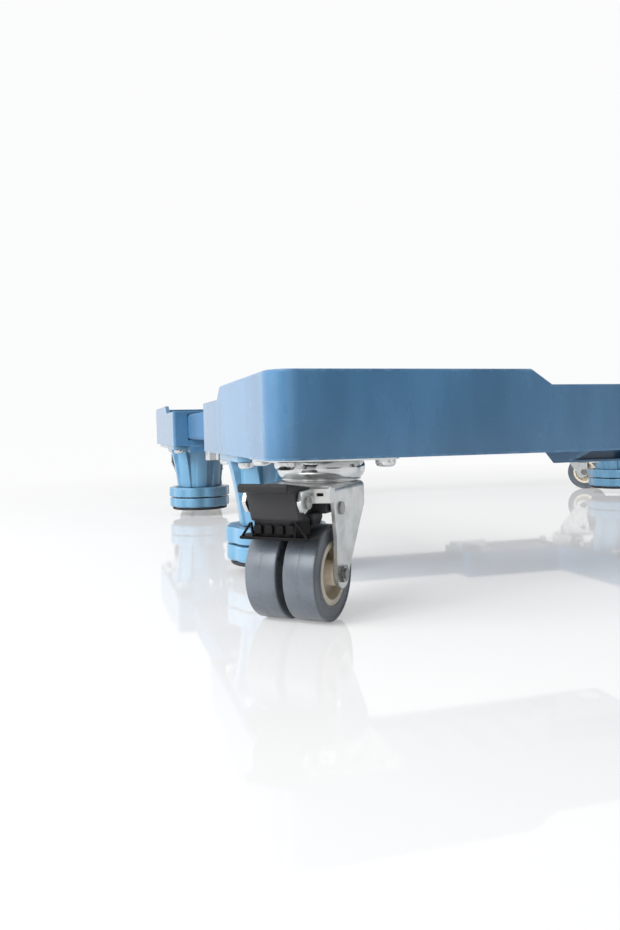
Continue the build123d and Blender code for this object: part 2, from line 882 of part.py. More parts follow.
def save_caster_pieces():
    """Writes the pieces that turn with each caster."""
    pieces = {
        "caster_fork": caster_fork(),
        "caster_pins": caster_pins(),
        "brake_pedal": brake_pedal(),
        "tyre_left": on_axle(tyre(), -1),
        "tyre_right": on_axle(tyre(), 1),
        "hub_left": on_axle(hub(), -1),
        "hub_right": on_axle(hub(), 1),
    }
    for piece, shape in pieces.items():
        for corner, (side_x, side_y, turn) in corners.items():
            save(f"{piece}_{corner}", on_swivel(shape, side_x, side_y, turn))


def save_bars():
    """Writes the four telescopic bars."""
    across = base_depth / 2 - axis_offset
    along = base_width / 2 - axis_offset
    save("front_bar", Pos(0, -across, 0) * telescopic_bar(False))
    save("back_bar", Pos(0, across, 0) * telescopic_bar(False))
    save("left_bar", Pos(-along, 0, 0) * telescopic_bar(True))
    save("right_bar", Pos(along, 0, 0) * telescopic_bar(True))


os.makedirs("parts", exist_ok=True)
save_corner_pieces()
save_caster_pieces()
save_bars()
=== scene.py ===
from math import cos, radians, sin

import bmesh
import bpy
import numpy as np
from mathutils import Matrix, Vector


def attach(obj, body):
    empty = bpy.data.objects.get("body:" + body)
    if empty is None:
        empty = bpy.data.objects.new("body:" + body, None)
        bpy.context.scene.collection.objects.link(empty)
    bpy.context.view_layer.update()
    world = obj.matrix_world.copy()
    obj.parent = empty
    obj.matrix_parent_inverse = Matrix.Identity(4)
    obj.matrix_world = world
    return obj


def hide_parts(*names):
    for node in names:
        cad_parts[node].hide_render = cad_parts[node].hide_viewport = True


# Adjustable mobile base for a heavy household appliance, put together from the brackets down to the floor.
# Sizes of new shapes are in millimetres until a mesh is made. Meshes, and the places that finishes and
# copies read, are in metres in the shared frame.
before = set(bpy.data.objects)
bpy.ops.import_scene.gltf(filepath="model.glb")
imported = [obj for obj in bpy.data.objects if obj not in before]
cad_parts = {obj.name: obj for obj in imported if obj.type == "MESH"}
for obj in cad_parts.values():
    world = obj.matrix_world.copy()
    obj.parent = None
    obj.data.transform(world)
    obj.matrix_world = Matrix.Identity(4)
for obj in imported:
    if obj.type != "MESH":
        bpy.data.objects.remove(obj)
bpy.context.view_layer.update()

# Corner brackets: four L-shaped mouldings of blue nylon, hollow and ribbed below, with a low rim round the
# outer corner that keeps the appliance from sliding off. The boss under each front arm starts on a slant.
# The finish is that of a moulded part: spark texture, flow marks, scuffs, edges paler from rubbing, and a
# painted highlight along the sloping edge of the pocket in the front boss.
BRACKET_BLUE = (0.052, 0.153, 0.284)
# Paler colour of rubs and scuffs, also used for the painted highlight on the pocket's edge.
BRACKET_RUBBED_AND_HIGHLIGHT = (0.17, 0.31, 0.46)
# For each corner its side in X, its side in Y, and the angle in degrees at which its caster stands.
CORNERS = {
    "front_left": (-1, -1, -40.6),
    "front_right": (1, -1, 139.4),
    "back_left": (-1, 1, 139.4),
    "back_right": (1, 1, 40.6),
}
MM = 0.001
BASE_HALF = (330.0, 344.0)
OUTER_CORNER = (BASE_HALF[0] * MM, BASE_HALF[1] * MM, 0.0)
RIM_TOP = 0.129
RIM_REACH = 0.0022
RIM_RUB = 0.9
BRACKET_LOW = 0.083
LOW_REACH = 0.0016
# Boss under the front arm's tip: distances along the arm and across it from the outer corner, and heights.
ARM_TIP = 0.230
WALL_LOW = 0.082986
SLEEVE_LOW = 0.086686
SLEEVE_BARE = 0.166
RIB_SIDES = (0.18075, 0.18325)
BOSS_START = (0.1655, 0.1725)
BOSS_SLOPE = (0.198, 0.204)
BOSS_FLANK = 0.0175
BOSS_DEPTH = (0.001, 0.041)
BOSS_INNER = 0.0575
BOSS_ROOT = 0.0868
BOSS_BOTTOM = 0.075986
BOSS_MITRE = 0.8
SAME_LEVEL = 1e-5
# Pocket in that boss: its lowest point along the arm and up, and the strip along its sloping edge that is
# painted paler as a highlight.
POCKET_LOW = (0.186, 0.0772)
POCKET_SLOPE = 0.414
POCKET_STRIP = (0.0016, 0.0024)
POCKET_REACH = 0.0015
POCKET_FLOOR = (0.0768, 0.0774)
POCKET_ROOF = (0.0826, 0.0832)
POCKET_HIGHLIGHT = 8


class Wire:
    """An output socket of a node tree. Arithmetic on it adds Math nodes; add() makes any other node."""

    def __init__(self, tree, socket=None):
        self.tree = tree
        self.socket = socket

    def add(self, kind, settings, values, out=0):
        """New node of a type: its settings are set first, then its sockets get values or links."""
        node = self.tree.nodes.new(kind)
        for key, value in settings.items():
            setattr(node, key, value)
        for key, value in values.items():
            if isinstance(value, Wire):
                self.tree.links.new(value.socket, node.inputs[key])
            else:
                node.inputs[key].default_value = value
        return Wire(self.tree, node.outputs[out])

    def maths(self, operation, first, second=0.0):
        """Math node on one or two values."""
        return self.add("ShaderNodeMath", {"operation": operation}, {0: first, 1: second})

    def __add__(self, other):
        return self.maths("ADD", self, other)

    def __radd__(self, other):
        return self.maths("ADD", other, self)

    def __sub__(self, other):
        return self.maths("SUBTRACT", self, other)

    def __rsub__(self, other):
        return self.maths("SUBTRACT", other, self)

    def __mul__(self, other):
        return self.maths("MULTIPLY", self, other)

    def __abs__(self):
        return self.maths("ABSOLUTE", self)

    def step(self, low, high):
        """0 below low, 1 above high, and a smooth S between them."""
        values = {"Value": self, "From Min": low, "From Max": high}
        return self.add("ShaderNodeMapRange", {"interpolation_type": "SMOOTHSTEP"}, values)

    def part(self, index):
        """One coordinate of a vector."""
        return self.add("ShaderNodeSeparateXYZ", {}, {"Vector": self}, index)

    def stretch(self, scale):
        """Vector scaled by a factor for each axis."""
        return self.add("ShaderNodeVectorMath", {"operation": "MULTIPLY"}, {0: self, 1: scale})

    def noise(self, scale, detail=3.0, rough=0.55):
        """Noise of about 0 to 1 on this vector, with the given number of features to the metre."""
        values = {"Vector": self, "Scale": scale, "Detail": detail, "Roughness": rough}
        return self.add("ShaderNodeTexNoise", {}, values)

    def scatter(self, scale):
        """Distance to the nearest of the points scattered over this vector, so many to the metre."""
        return self.add("ShaderNodeTexVoronoi", {"feature": "F1"}, {"Vector": self, "Scale": scale})

    def tint(self, first, second):
        """Colour that goes from the first to the second as this value goes from 0 to 1."""
        settings = {"data_type": "RGBA"}
        first = first if isinstance(first, Wire) else (*first, 1)
        second = second if isinstance(second, Wire) else (*second, 1)
        return self.add("ShaderNodeMix", settings, {"Factor": self, 6: first, 7: second}, 2)

    def bump(self, strength, depth):
        """Normal that is tilted by this value as a height of the given depth in metres."""
        return self.add("ShaderNodeBump", {}, {"Height": self, "Strength": strength, "Distance": depth})


def new_finish(name):
    """Empty material, its surface coordinates, and a function that sets the sockets of its surface shader."""
    material = bpy.data.materials.new(name)
    material.use_nodes = True
    tree = material.node_tree
    shader = tree.nodes["Principled BSDF"]

    def wear(**sockets):
        for key, value in sockets.items():
            socket = shader.inputs[key.replace("_", " ")]
            if isinstance(value, Wire):
                tree.links.new(value.socket, socket)
            else:
                socket.default_value = value

    place = Wire(tree).add("ShaderNodeTexCoord", {}, {}, "Object")
    return material, place, wear


def shade(colour, factor):
    """Colour times a factor."""
    return tuple(factor * c for c in colour)


def scratches(place, angle, scale, width):
    """Mask of short straight scratches: scattered points drawn out to thin spindles along a turned axis, in
    patches."""
    axes = place.add("ShaderNodeMapping", {}, {"Vector": place, "Rotation": angle})
    spindles = 1 - axes.stretch((0.03, 1.0, 1.0)).scatter(scale).step(0.0, width)
    return spindles * place.noise(40.0, 2.0).step(0.42, 0.62)


def moulded_finish(name, colour, rub_and_highlight_tone, rub_and_highlight_mask, gloss):
    """Coloured nylon: mottled by the flow in the mould, grained all over, scuffed, and paler where the mask
    says, for rubs and, on the brackets, a painted highlight."""
    material, place, wear = new_finish(name)
    flow = place.stretch((1.0, 1.0, 0.35)).noise(26.0, 4.0)
    speck = place.noise(420.0, 2.0)
    scuff = scratches(place, (0.0, 0.3, 0.7), 320.0, 0.10) + scratches(place, (0.2, 0.9, 2.3), 320.0, 0.08)
    # On the brackets this mask also holds the painted highlight along the pocket's edge.
    rub = rub_and_highlight_mask(place) * place.noise(160.0, 4.0, 0.65).step(0.38, 0.72)
    light = tuple(min(1.0, 1.14 * c + 0.006) for c in colour)
    body = flow.step(0.30, 0.72).tint(shade(colour, 0.84), light)
    body = (speck.step(0.58, 0.80) * 0.22).tint(body, light)
    body = (scuff * 0.20).tint(body, rub_and_highlight_tone)
    body = (rub * 0.62).tint(body, rub_and_highlight_tone)
    grain = place.noise(2100.0, 2.0, 0.6) + place.noise(700.0, 2.0) * 0.6
    relief = grain - scuff * 1.2
    wear(
        Base_Color=body,
        Roughness=gloss + flow * 0.10 + scuff * 0.14 + rub * 0.14,
        Normal=relief.bump(0.06, 0.0002),
        Coat_Weight=0.4,
        Coat_Roughness=0.10,
    )
    return material


def near(value, level, reach):
    """1 where a value is within reach of a level, falling smoothly to 0."""
    return 1 - abs(value - level).step(0.0, reach)


def bracket_rubs_and_highlight(place):
    """Rubbed places of a bracket, the rim's top and the lower edge of the walls, and a painted highlight
    along the sloping edge of the pocket in the front boss."""
    height = place.part(2)
    along = OUTER_CORNER[0] - abs(place.part(0))
    deep = OUTER_CORNER[1] - abs(place.part(1))
    slope = height - POCKET_LOW[1] - (along - POCKET_LOW[0]) * POCKET_SLOPE
    # Painted highlight: a paler strip along the sloping edge of the pocket.
    pocket = (1 - slope.step(*POCKET_STRIP)) * near(deep, BOSS_FLANK, POCKET_REACH)
    pocket = pocket * height.step(*POCKET_FLOOR) * (1 - height.step(*POCKET_ROOF))
    rim = near(height, RIM_TOP, RIM_REACH) * RIM_RUB
    return rim + near(height, BRACKET_LOW, LOW_REACH) + pocket * POCKET_HIGHLIGHT


def solid_copy(node, corner):
    """Points, triangles and corner normals of a node, with its equal points merged, and the points' distances
    from the bracket's outer corner along the front arm and along the side arm."""
    side_x, side_y, _ = CORNERS[corner]
    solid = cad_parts[node].data
    points = np.empty(3 * len(solid.vertices), np.float32)
    normals = np.empty(3 * len(solid.loops), np.float32)
    corners = np.empty(len(solid.loops), np.int32)
    solid.vertices.foreach_get("co", points)
    solid.corner_normals.foreach_get("vector", normals)
    solid.loops.foreach_get("vertex_index", corners)
    points, merged = np.unique(points.reshape(-1, 3), axis=0, return_inverse=True)
    triangles = merged.ravel()[corners].reshape(-1, 3)
    along = OUTER_CORNER[0] - side_x * points[:, 0]
    deep = OUTER_CORNER[1] - side_y * points[:, 1]
    return points, triangles, normals.reshape(-1, 3, 3), along, deep


def solid_mesh(name, points, triangles, normals):
    """Mesh of triangles, without the points that none uses, with a normal of length 1 at each corner."""
    normals = normals / np.linalg.norm(normals, axis=-1, keepdims=True)
    used, merged = np.unique(triangles, return_inverse=True)
    mesh = bpy.data.meshes.new(name)
    mesh.from_pydata(points[used].tolist(), [], merged.reshape(-1, 3).tolist())
    mesh.normals_split_custom_set(normals.reshape(-1, 3).tolist())
    return mesh


def boss_patches():
    """Outline and outward direction of each flat patch, as distances along the arm, across it and up: the
    boss's inner face, the end of the rib before it, and the sleeve's underside that the slant lays bare."""
    face = [(BOSS_SLOPE[0], SLEEVE_LOW), (BOSS_SLOPE[0], WALL_LOW), (BOSS_SLOPE[1], BOSS_BOTTOM)]
    face += [(ARM_TIP, BOSS_BOTTOM), (ARM_TIP, SLEEVE_LOW)]
    rib = [(x, WALL_LOW) for x in RIB_SIDES] + [(x, SLEEVE_LOW) for x in reversed(RIB_SIDES)]
    bare = [(SLEEVE_BARE, BOSS_FLANK), (BOSS_SLOPE[0], BOSS_INNER), (SLEEVE_BARE, BOSS_INNER)]
    return (
        ([(x, BOSS_INNER, z) for x, z in face], (0, 1, 0)),
        ([(x, BOSS_INNER, z) for x, z in rib], (0, -1, 0)),
        ([(x, y, SLEEVE_LOW) for x, y in bare], (0, 0, -1)),
    )


def mitred_bracket(corner):
    """Copy of a bracket's solid in which the points of the front boss's start move along the arm by the mitre
    times their distance from the outer flank. The faces round them are flat, so their corners take the face's
    normal. The sleeve's underside stays, and flat patches close what the move opens."""
    side_x, side_y, _ = CORNERS[corner]
    points, triangles, normals, along, deep = solid_copy(f"corner_bracket_{corner}", corner)
    low = points[:, 2] < BOSS_ROOT
    from_flank = deep - BOSS_FLANK
    start = (along > BOSS_START[0]) & (along < BOSS_START[1]) & low
    start &= (from_flank > BOSS_DEPTH[0]) & (from_flank < BOSS_DEPTH[1])
    inner = (abs(deep - BOSS_INNER) < SAME_LEVEL) & (along > BOSS_START[0]) & low
    sleeve = abs(points[:, 2] - SLEEVE_LOW) < SAME_LEVEL
    kept = ~inner[triangles].all(1)
    triangles, normals = triangles[kept], normals[kept]
    moved = start[triangles].any(1) & ~sleeve[triangles].all(1)
    shifted = points.copy()
    shifted[start, 0] -= side_x * BOSS_MITRE * from_flank[start]
    triangles[moved] += np.where(start[triangles[moved]], len(points), 0)
    points = np.concatenate([points, shifted])
    first, second, third = (points[triangles[moved, i]].astype(float) for i in range(3))
    normals[moved] = np.cross(second - first, third - first)[:, None] / MM**2
    for outline, outward in boss_patches():
        face = (np.array(OUTER_CORNER) - outline) * (side_x, side_y, -1)
        outward = np.array(outward) * (-side_x, -side_y, 1.0)
        fan = np.array([(0, i, i + 1) for i in range(1, len(outline) - 1)]) + len(points)
        over = np.cross(face[1] - face[0], face[2] - face[0]) @ outward < 0
        points = np.concatenate([points, face])
        triangles = np.concatenate([triangles, fan[:, ::-1] if over else fan])
        normals = np.concatenate([normals, np.tile(outward, (len(fan), 3, 1))])
    return solid_mesh(f"corner_bracket_skin_{corner}", points, triangles, normals)


def dress(name, mesh, material, body, nodes):
    """One object of a mesh, in a finish, that rides on a body and stands for its nodes."""
    mesh.materials.clear()
    mesh.materials.append(material)
    piece = bpy.data.objects.new(name, mesh)
    bpy.context.scene.collection.objects.link(piece)
    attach(piece, body)
    if nodes:
        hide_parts(*nodes)


bracket_finish = moulded_finish(
    "moulded_bracket_blue", BRACKET_BLUE, BRACKET_RUBBED_AND_HIGHLIGHT, bracket_rubs_and_highlight, gloss=0.22,
)
for corner in CORNERS:
    dress(
        f"corner_bracket_skin_{corner}", mitred_bracket(corner),
        bracket_finish, f"base_{corner}", [f"corner_bracket_{corner}"],
    )

# Telescopic bars: rectangular steel tubes, powder-coated in the same blue, that slide in the sleeves of the
# brackets. The coat has a faint orange-peel surface and long rub marks from the sleeves.
BAR_BLUE = (0.040, 0.125, 0.245)
BAR_RUBBED = (0.30, 0.36, 0.42)
QUARTER_TURN = 1.5708

bar_finish, place, wear = new_finish("coated_bar_blue")
along_x = scratches(place, (0.0, 0.0, 0.0), 300.0, 0.14)
along_y = scratches(place, (0.0, 0.0, QUARTER_TURN), 300.0, 0.14)
rub = (along_x + along_y) * place.noise(22.0, 3.0).step(0.42, 0.62)
peel = place.noise(520.0, 2.0)
cloud = place.noise(18.0, 3.0)
coat = cloud.step(0.3, 0.7).tint(shade(BAR_BLUE, 0.88), shade(BAR_BLUE, 1.12))
wear(
    Base_Color=(rub * 0.45).tint(coat, BAR_RUBBED),
    Roughness=0.50 + cloud * 0.12 + rub * 0.18,
    Normal=(peel + rub * 0.4).bump(0.12, 0.0003),
    Specular_IOR_Level=0.3,
)
for bar in ("front_bar", "back_bar", "left_bar", "right_bar"):
    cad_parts[bar].data.materials[0] = bar_finish

# Screws of the caster plate and of the foot's flange, and the lock bolts under the arm tips: bright
# zinc-plated steel with a fine grain and dull spots, driven up into the bracket. The lock bolts of the front
# arms have low heads.
SCREW_STEEL = (0.74, 0.75, 0.76)
SCREW_DULL = (0.56, 0.57, 0.56)
HEAD_TOP = 0.07598
FRONT_BOLT = (0.200, 0.0300)
LOW_HEAD = 0.2


def low_front_bolts(corner):
    """Copy of a corner's screws in which the part of the front arm's lock bolt that hangs below its boss is
    pressed up towards it, and the normals there steepen to match."""
    points, triangles, normals, along, deep = solid_copy(f"bracket_screws_{corner}", corner)
    head = (along > FRONT_BOLT[0]) & (deep > FRONT_BOLT[1]) & (points[:, 2] < HEAD_TOP)
    points[head, 2] = HEAD_TOP + (points[head, 2] - HEAD_TOP) * LOW_HEAD
    normals[head[triangles], 2] /= LOW_HEAD
    return solid_mesh(f"bracket_screws_skin_{corner}", points, triangles, normals)


screw_finish, place, wear = new_finish("bright_zinc_screws")
cloud = place.noise(240.0, 3.0)
fine = place.noise(1500.0, 2.0)
dull = cloud.step(0.52, 0.74)
wear(
    Base_Color=dull.tint(SCREW_STEEL, SCREW_DULL),
    Metallic=1.0,
    Roughness=0.16 + dull * 0.20 + fine * 0.06,
    Normal=fine.bump(0.10, 0.0001),
)
for corner in CORNERS:
    dress(
        f"bracket_screws_skin_{corner}", low_front_bolts(corner),
        screw_finish, f"base_{corner}", [f"bracket_screws_{corner}"],
    )

# Foot columns: pale blue mouldings with a flange that is screwed under the side arm. Eight wide ribs run down
# the tapered column and flare into the flange; the stem of the foot goes up inside.
PALE_BLUE = (0.100, 0.240, 0.372)
PALE_RUBBED = (0.25, 0.39, 0.51)
FOOT_AT = (37.5, 148.0)
COLUMN_LOW = 33.8
COLUMN_LAP = 0.5
COLUMN_ROWS = 46
STEM_BORE = 10.35
RIBS = 8
RIB_HALF = 6.5
RIB_ROUND = 1.5
# Over the column's height from 0 to 1: the quadratic of a rib, the straight line of a groove, and the size
# and steepness of the groove's flare at the top and of the draw-in at the lower edge.
RIB_RADII = (25.5, 3.5, 3.8)
GROOVE_RADII = (24.0, 2.5)
GROOVE_FLARE = (2.2, 20)
COLUMN_EDGE = (0.5, 60)
FLANGE_LOW = 77.986
FLANGE_TOP = 82.986
FLANGE_SIZE = (66.0, 84.0)
FLANGE_ROUND = 9.0
FLANGE_EDGE = 1.2
# Height and reach, in metres, of the flange's lower edge and of the lips of the two hand rings.
FOOT_RUBS = ((FLANGE_LOW * MM, 0.0016), (0.0335, 0.0020), (0.0227, 0.0012), (0.0212, 0.0016))
SHARP_EDGE = radians(38)
TURN = 2 * np.pi
ROUND_STEPS = 288


def closed_faces(rows, columns, ring):
    """Quads of a grid that wraps along its columns, and along its rows too if it is a ring."""
    row = np.arange(rows if ring else rows - 1)[:, None]
    column = np.arange(columns)[None, :]
    after = (column + 1) % columns
    below = (row + 1) % rows
    quads = [row * columns + column, row * columns + after, below * columns + after, below * columns + column]
    return np.stack(quads, -1).reshape(-1, 4)


def make_piece(name, shells, material, body, nodes):
    """One object from closed shells, each a grid of points in millimetres and whether its rows form a ring.
    A shell that isn't a ring is closed by a flat face at each end."""
    points, faces, start = [], [], 0
    for grid, ring in shells:
        rows, columns = grid.shape[:2]
        points.append(grid.reshape(-1, 3))
        faces += (closed_faces(rows, columns, ring) + start).tolist()
        if not ring:
            faces.append(list(range(start, start + columns)))
            faces.append(list(range(start + (rows - 1) * columns, start + rows * columns)))
        start += rows * columns
    mesh = bpy.data.meshes.new(name)
    mesh.from_pydata((np.concatenate(points) * MM).tolist(), [], faces)
    shape = bmesh.new()
    shape.from_mesh(mesh)
    bmesh.ops.recalc_face_normals(shape, faces=shape.faces)
    shape.to_mesh(mesh)
    shape.free()
    mesh.shade_smooth()
    mesh.set_sharp_from_angle(angle=SHARP_EDGE)
    dress(name, mesh, material, body, nodes)


def rectangle(half_x, half_y):
    """Corners of a rectangle about the origin."""
    return [(-half_x, -half_y), (half_x, -half_y), (half_x, half_y), (-half_x, half_y)]


def rounded(points, radii, steps=6):
    """Closed outline with each corner replaced by an arc: from each corner the tangent points lie
    radius / tan(half the corner's angle) along both sides, and the arc is swept between them."""
    corner = np.array(points, float)
    back = np.roll(corner, 1, 0) - corner
    ahead = np.roll(corner, -1, 0) - corner
    back /= np.linalg.norm(back, axis=1)[:, None]
    ahead /= np.linalg.norm(ahead, axis=1)[:, None]
    half = np.arccos(np.clip((back * ahead).sum(1), -1, 1)) / 2
    radius = np.maximum(np.array(radii, float) * np.ones(len(corner)), 1e-3)
    middle = back + ahead
    middle /= np.linalg.norm(middle, axis=1)[:, None]
    centre = corner + middle * (radius / np.sin(half))[:, None]
    first = corner + back * (radius / np.tan(half))[:, None] - centre
    last = corner + ahead * (radius / np.tan(half))[:, None] - centre
    sweep = np.pi - 2 * half
    share = np.linspace(0, 1, steps)[None, :]
    near_first = np.sin((1 - share) * sweep[:, None]) / np.sin(sweep)[:, None]
    near_last = np.sin(share * sweep[:, None]) / np.sin(sweep)[:, None]
    arc = centre[:, None] + first[:, None] * near_first[..., None] + last[:, None] * near_last[..., None]
    return arc.reshape(-1, 2)


def inset(loop, distance):
    """Closed outline moved inwards by a distance, each point along the mean normal of its two sides."""
    side = np.roll(loop, -1, 0) - loop
    side /= np.linalg.norm(side, axis=1)[:, None] + 1e-9
    normal = np.stack([-side[:, 1], side[:, 0]], 1)
    mean = normal + np.roll(normal, 1, 0)
    mean /= (mean * normal).sum(1)[:, None] + 1e-9
    area = (loop[:, 0] * np.roll(loop[:, 1], -1) - loop[:, 1] * np.roll(loop[:, 0], -1)).sum()
    return loop + mean * distance * np.sign(area)


def slab(loop, low, high, edge, steps=5):
    """Plate of an outline between two heights: a stack of the outline, drawn in at both ends by a quarter
    circle of the edge radius."""
    turn = np.linspace(0, np.pi / 2, steps)
    rise = edge * (1 - np.sin(turn[::-1]))
    draw = edge * (1 - np.cos(turn[::-1]))
    heights = np.concatenate([low + rise, high - rise[::-1]])
    insets = np.concatenate([draw, draw[::-1]])
    rings = [np.column_stack([inset(loop, d), np.full(len(loop), h)]) for d, h in zip(insets, heights)]
    return np.stack(rings)


def to_corner(points, corner):
    """From the bracket's frame, with its outer corner at the origin, to one corner of the base, mirrored to
    suit."""
    side_x, side_y, _ = CORNERS[corner]
    x = side_x * (BASE_HALF[0] - points[..., 0])
    y = side_y * (BASE_HALF[1] - points[..., 1])
    return np.stack([x, y, points[..., 2]], -1)


def at_foot(points):
    """Moves a shape on the Z axis to the foot's axis in the bracket's frame."""
    return points + np.array([*FOOT_AT, 0.0])


def full_turn(steps):
    """Row of angles spread evenly over a turn."""
    return np.linspace(0, TURN, steps, endpoint=False)[None, :]


def from_nearest(angle, count):
    """Angle from the nearest of a count of directions that are spread evenly over a turn."""
    return ((angle * count / TURN + 0.5) % 1 - 0.5) * TURN / count


def turned(radius, angle, height):
    """Points at a radius and angle about the Z axis, and at a height."""
    return np.stack(np.broadcast_arrays(radius * np.cos(angle), radius * np.sin(angle), height), -1)


def ribbed_column():
    """Column as a ring of rings: outside, each rib's radius is a quadratic of the height, the grooves taper
    straight and flare at the top, and a rounded step of the distance from the rib's middle line mixes the
    two; then the bore."""
    angle = full_turn(ROUND_STEPS)
    share = np.linspace(0, 1, COLUMN_ROWS)[:, None]
    rib = RIB_RADII[0] + RIB_RADII[1] * share + RIB_RADII[2] * share**2
    groove = GROOVE_RADII[0] + GROOVE_RADII[1] * share
    groove += GROOVE_FLARE[0] * np.exp((share - 1) * GROOVE_FLARE[1])
    from_middle = rib * np.sin(np.abs(from_nearest(angle, RIBS)))
    step = np.clip((RIB_HALF - from_middle) / RIB_ROUND + 0.5, 0, 1)
    outside = groove + (rib - groove) * step * step * (3 - 2 * step)
    outside -= COLUMN_EDGE[0] * np.exp(-share * COLUMN_EDGE[1])
    top = FLANGE_LOW + COLUMN_LAP
    height = COLUMN_LOW + (top - COLUMN_LOW) * share
    radius = np.concatenate([outside, np.full((2, ROUND_STEPS), STEM_BORE)])
    return turned(radius, angle, np.concatenate([height, [[top], [COLUMN_LOW]]]))


def foot_edges(place):
    """Rubbed places of a foot: the flange's lower edge and the lips of the two hand rings."""
    height = place.part(2)
    (level, reach), *lips = FOOT_RUBS
    rub_and_highlight_tone = near(height, level, reach)
    for level, reach in lips:
        rub_and_highlight_tone = rub_and_highlight_tone + near(height, level, reach)
    return rub_and_highlight_tone


pale_finish = moulded_finish("moulded_foot_blue", PALE_BLUE, PALE_RUBBED, foot_edges, gloss=0.24)
flange_loop = rounded(rectangle(FLANGE_SIZE[0] / 2, FLANGE_SIZE[1] / 2), FLANGE_ROUND, steps=12)
for corner in CORNERS:
    column = to_corner(at_foot(ribbed_column()), corner)
    flange = to_corner(at_foot(slab(flange_loop, FLANGE_LOW, FLANGE_TOP, FLANGE_EDGE)), corner)
    make_piece(
        f"foot_column_skin_{corner}", [(column, True), (flange, False)],
        pale_finish, f"base_{corner}", [f"foot_column_{corner}"],
    )

# Lock rings: lobed hand rings of the same pale nylon on the foot's thread. Turned up against the column,
# they keep the foot from creeping.
LOBES = 10
LOBE_RADIUS = 13.0
LOBE_RISE = 2.0
LOBE_BLEND = 3
LOBE_FADE = 0.55
# Radius, low and high of the ring, and the radii of its lower and upper edge.
LOCK_RING = (35.5, 22.7, 33.5)
LOCK_EDGES = (1.0, 1.6)
# Where the rim and the foot of the dish lie from bore to rim, and its depth.
DISH = (0.66, 0.62, 0.7)


def rounded_each(outline, steps):
    """Closed outline of points that each give the radius of their own corner."""
    outline = np.array(outline, float)
    return rounded(outline[:, :2], outline[:, 2], steps)


def lobed_ring(radius, low, high, bore, low_edge, high_edge):
    """Ring of rings. Its rim is the larger, with a soft change, of a plain circle and the circles of the
    lobes, in polar form c cos a + sqrt(l^2 - c^2 sin^2 a); the section is a rectangle with rounded edges and
    a shallow dish on top, and the lobes die out towards the bore."""
    angle = full_turn(ROUND_STEPS)
    centre = radius - LOBE_RADIUS
    off = from_nearest(angle, LOBES)
    lobe = centre * np.cos(off) + np.sqrt(LOBE_RADIUS**2 - (centre * np.sin(off)) ** 2)
    plain = radius - LOBE_RISE
    rim = np.log(np.exp(lobe * LOBE_BLEND) + np.exp(plain * LOBE_BLEND)) / LOBE_BLEND
    rim = np.minimum(rim, radius)
    dish_rim, dish_foot, dish_depth = DISH
    dish = high - dish_depth
    corners = [(1.0, low, low_edge), (1.0, high, high_edge), (dish_rim, high, 0.4)]
    corners += [(dish_foot, dish, 0.3), (0.0, dish, 0.4), (0.0, low, 0.4)]
    section = rounded_each([(bore + (radius - bore) * u, z, edge) for u, z, edge in corners], steps=7)
    share = ((section[:, 0] - bore) / (radius - bore))[:, None]
    fade = np.clip((share - LOBE_FADE) / (1 - LOBE_FADE), 0, 1)
    return turned(section[:, :1] + (rim - radius) * fade, angle, section[:, 1:])


for corner in CORNERS:
    ring = to_corner(at_foot(lobed_ring(*LOCK_RING, STEM_BORE, *LOCK_EDGES)), corner)
    make_piece(
        f"lock_ring_skin_{corner}", [(ring, True)],
        pale_finish, f"lock_{corner}", [f"lock_ring_{corner}"],
    )

# Foot rings with their stems: the lower lobed ring and the threaded stem are one moulding. Turning it by hand
# lowers the foot by 4 mm a turn until it takes the load off the wheels.
THREAD_PITCH = 4.0
THREAD_DEPTH = 1.1
THREAD_SAW = (3.2, 0.35)
SPIGOT_BORE = 8.35
# Radius, low and high of the ring, the radii of its edges, and radius, low and high of the stem.
FOOT_RING = (35.0, 10.3, 21.2)
FOOT_EDGES = (2.6, 1.0)
STEM = (10.0, 20.4, 74.7)
STEM_CHAMFER = 1.6
STEM_STEPS = (60, 190)


def threaded_stem():
    """Stem: radius less the thread's depth times a rounded saw of height / pitch - angle / turn, and drawn in
    at the top by a chamfer."""
    radius, low, high = STEM
    angle = full_turn(STEM_STEPS[0])
    height = np.linspace(low, high, STEM_STEPS[1])[:, None]
    phase = (height / THREAD_PITCH - angle / TURN) % 1
    groove = np.clip(np.abs(phase - 0.5) * THREAD_SAW[0] - THREAD_SAW[1], 0, 1)
    draw = np.clip((height - (high - STEM_CHAMFER)) / STEM_CHAMFER, 0, 1) * STEM_CHAMFER
    return turned(radius - THREAD_DEPTH * groove - draw, angle, height)


for corner in CORNERS:
    ring = to_corner(at_foot(lobed_ring(*FOOT_RING, SPIGOT_BORE, *FOOT_EDGES)), corner)
    stem = to_corner(at_foot(threaded_stem()), corner)
    make_piece(
        f"foot_screw_skin_{corner}", [(ring, True), (stem, False)],
        pale_finish, f"foot_{corner}", [f"foot_screw_{corner}"],
    )

# Soles: black rubber discs under the foot rings, each with a spigot on which its ring turns. Grooves in the
# underside grip the floor.
SOLE_BLACK = (0.018, 0.018, 0.019)
SOLE_DUST = (0.10, 0.095, 0.09)
# Radius, low and high of the disc, and radius and top of the spigot.
SOLE = (32.0, 7.4, 10.0)
SPIGOT = (8.0, 17.5)
AXIS_GAP = 0.4
# Radii of the grooves' middles, and the points of a groove's section across it and up.
GRIPS_AT = (11.0, 17.0, 23.0, 28.0)
GRIP = ((-1.2, 0.0), (-0.8, 0.8), (0.8, 0.8), (1.2, 0.0))


def lathe(section, steps):
    """Closed section of radius and height carried round the Z axis, as a grid of section by angle."""
    return turned(section[:, :1], full_turn(steps), section[:, 1:])


def sole_section():
    """Half section from the axis: a flat disc with a rounded rim, four grooves below and the spigot above."""
    radius, low, high = SOLE
    outline = [(AXIS_GAP, low, 0.05)]
    outline += [(middle + across, low + up, 0.2) for middle in GRIPS_AT for across, up in GRIP]
    outline += [(radius, low, 0.9), (radius, high, 0.9), (SPIGOT[0], high, 0.4)]
    outline += [(*SPIGOT, 0.8), (AXIS_GAP, SPIGOT[1], 0.05)]
    return rounded_each(outline, steps=4)


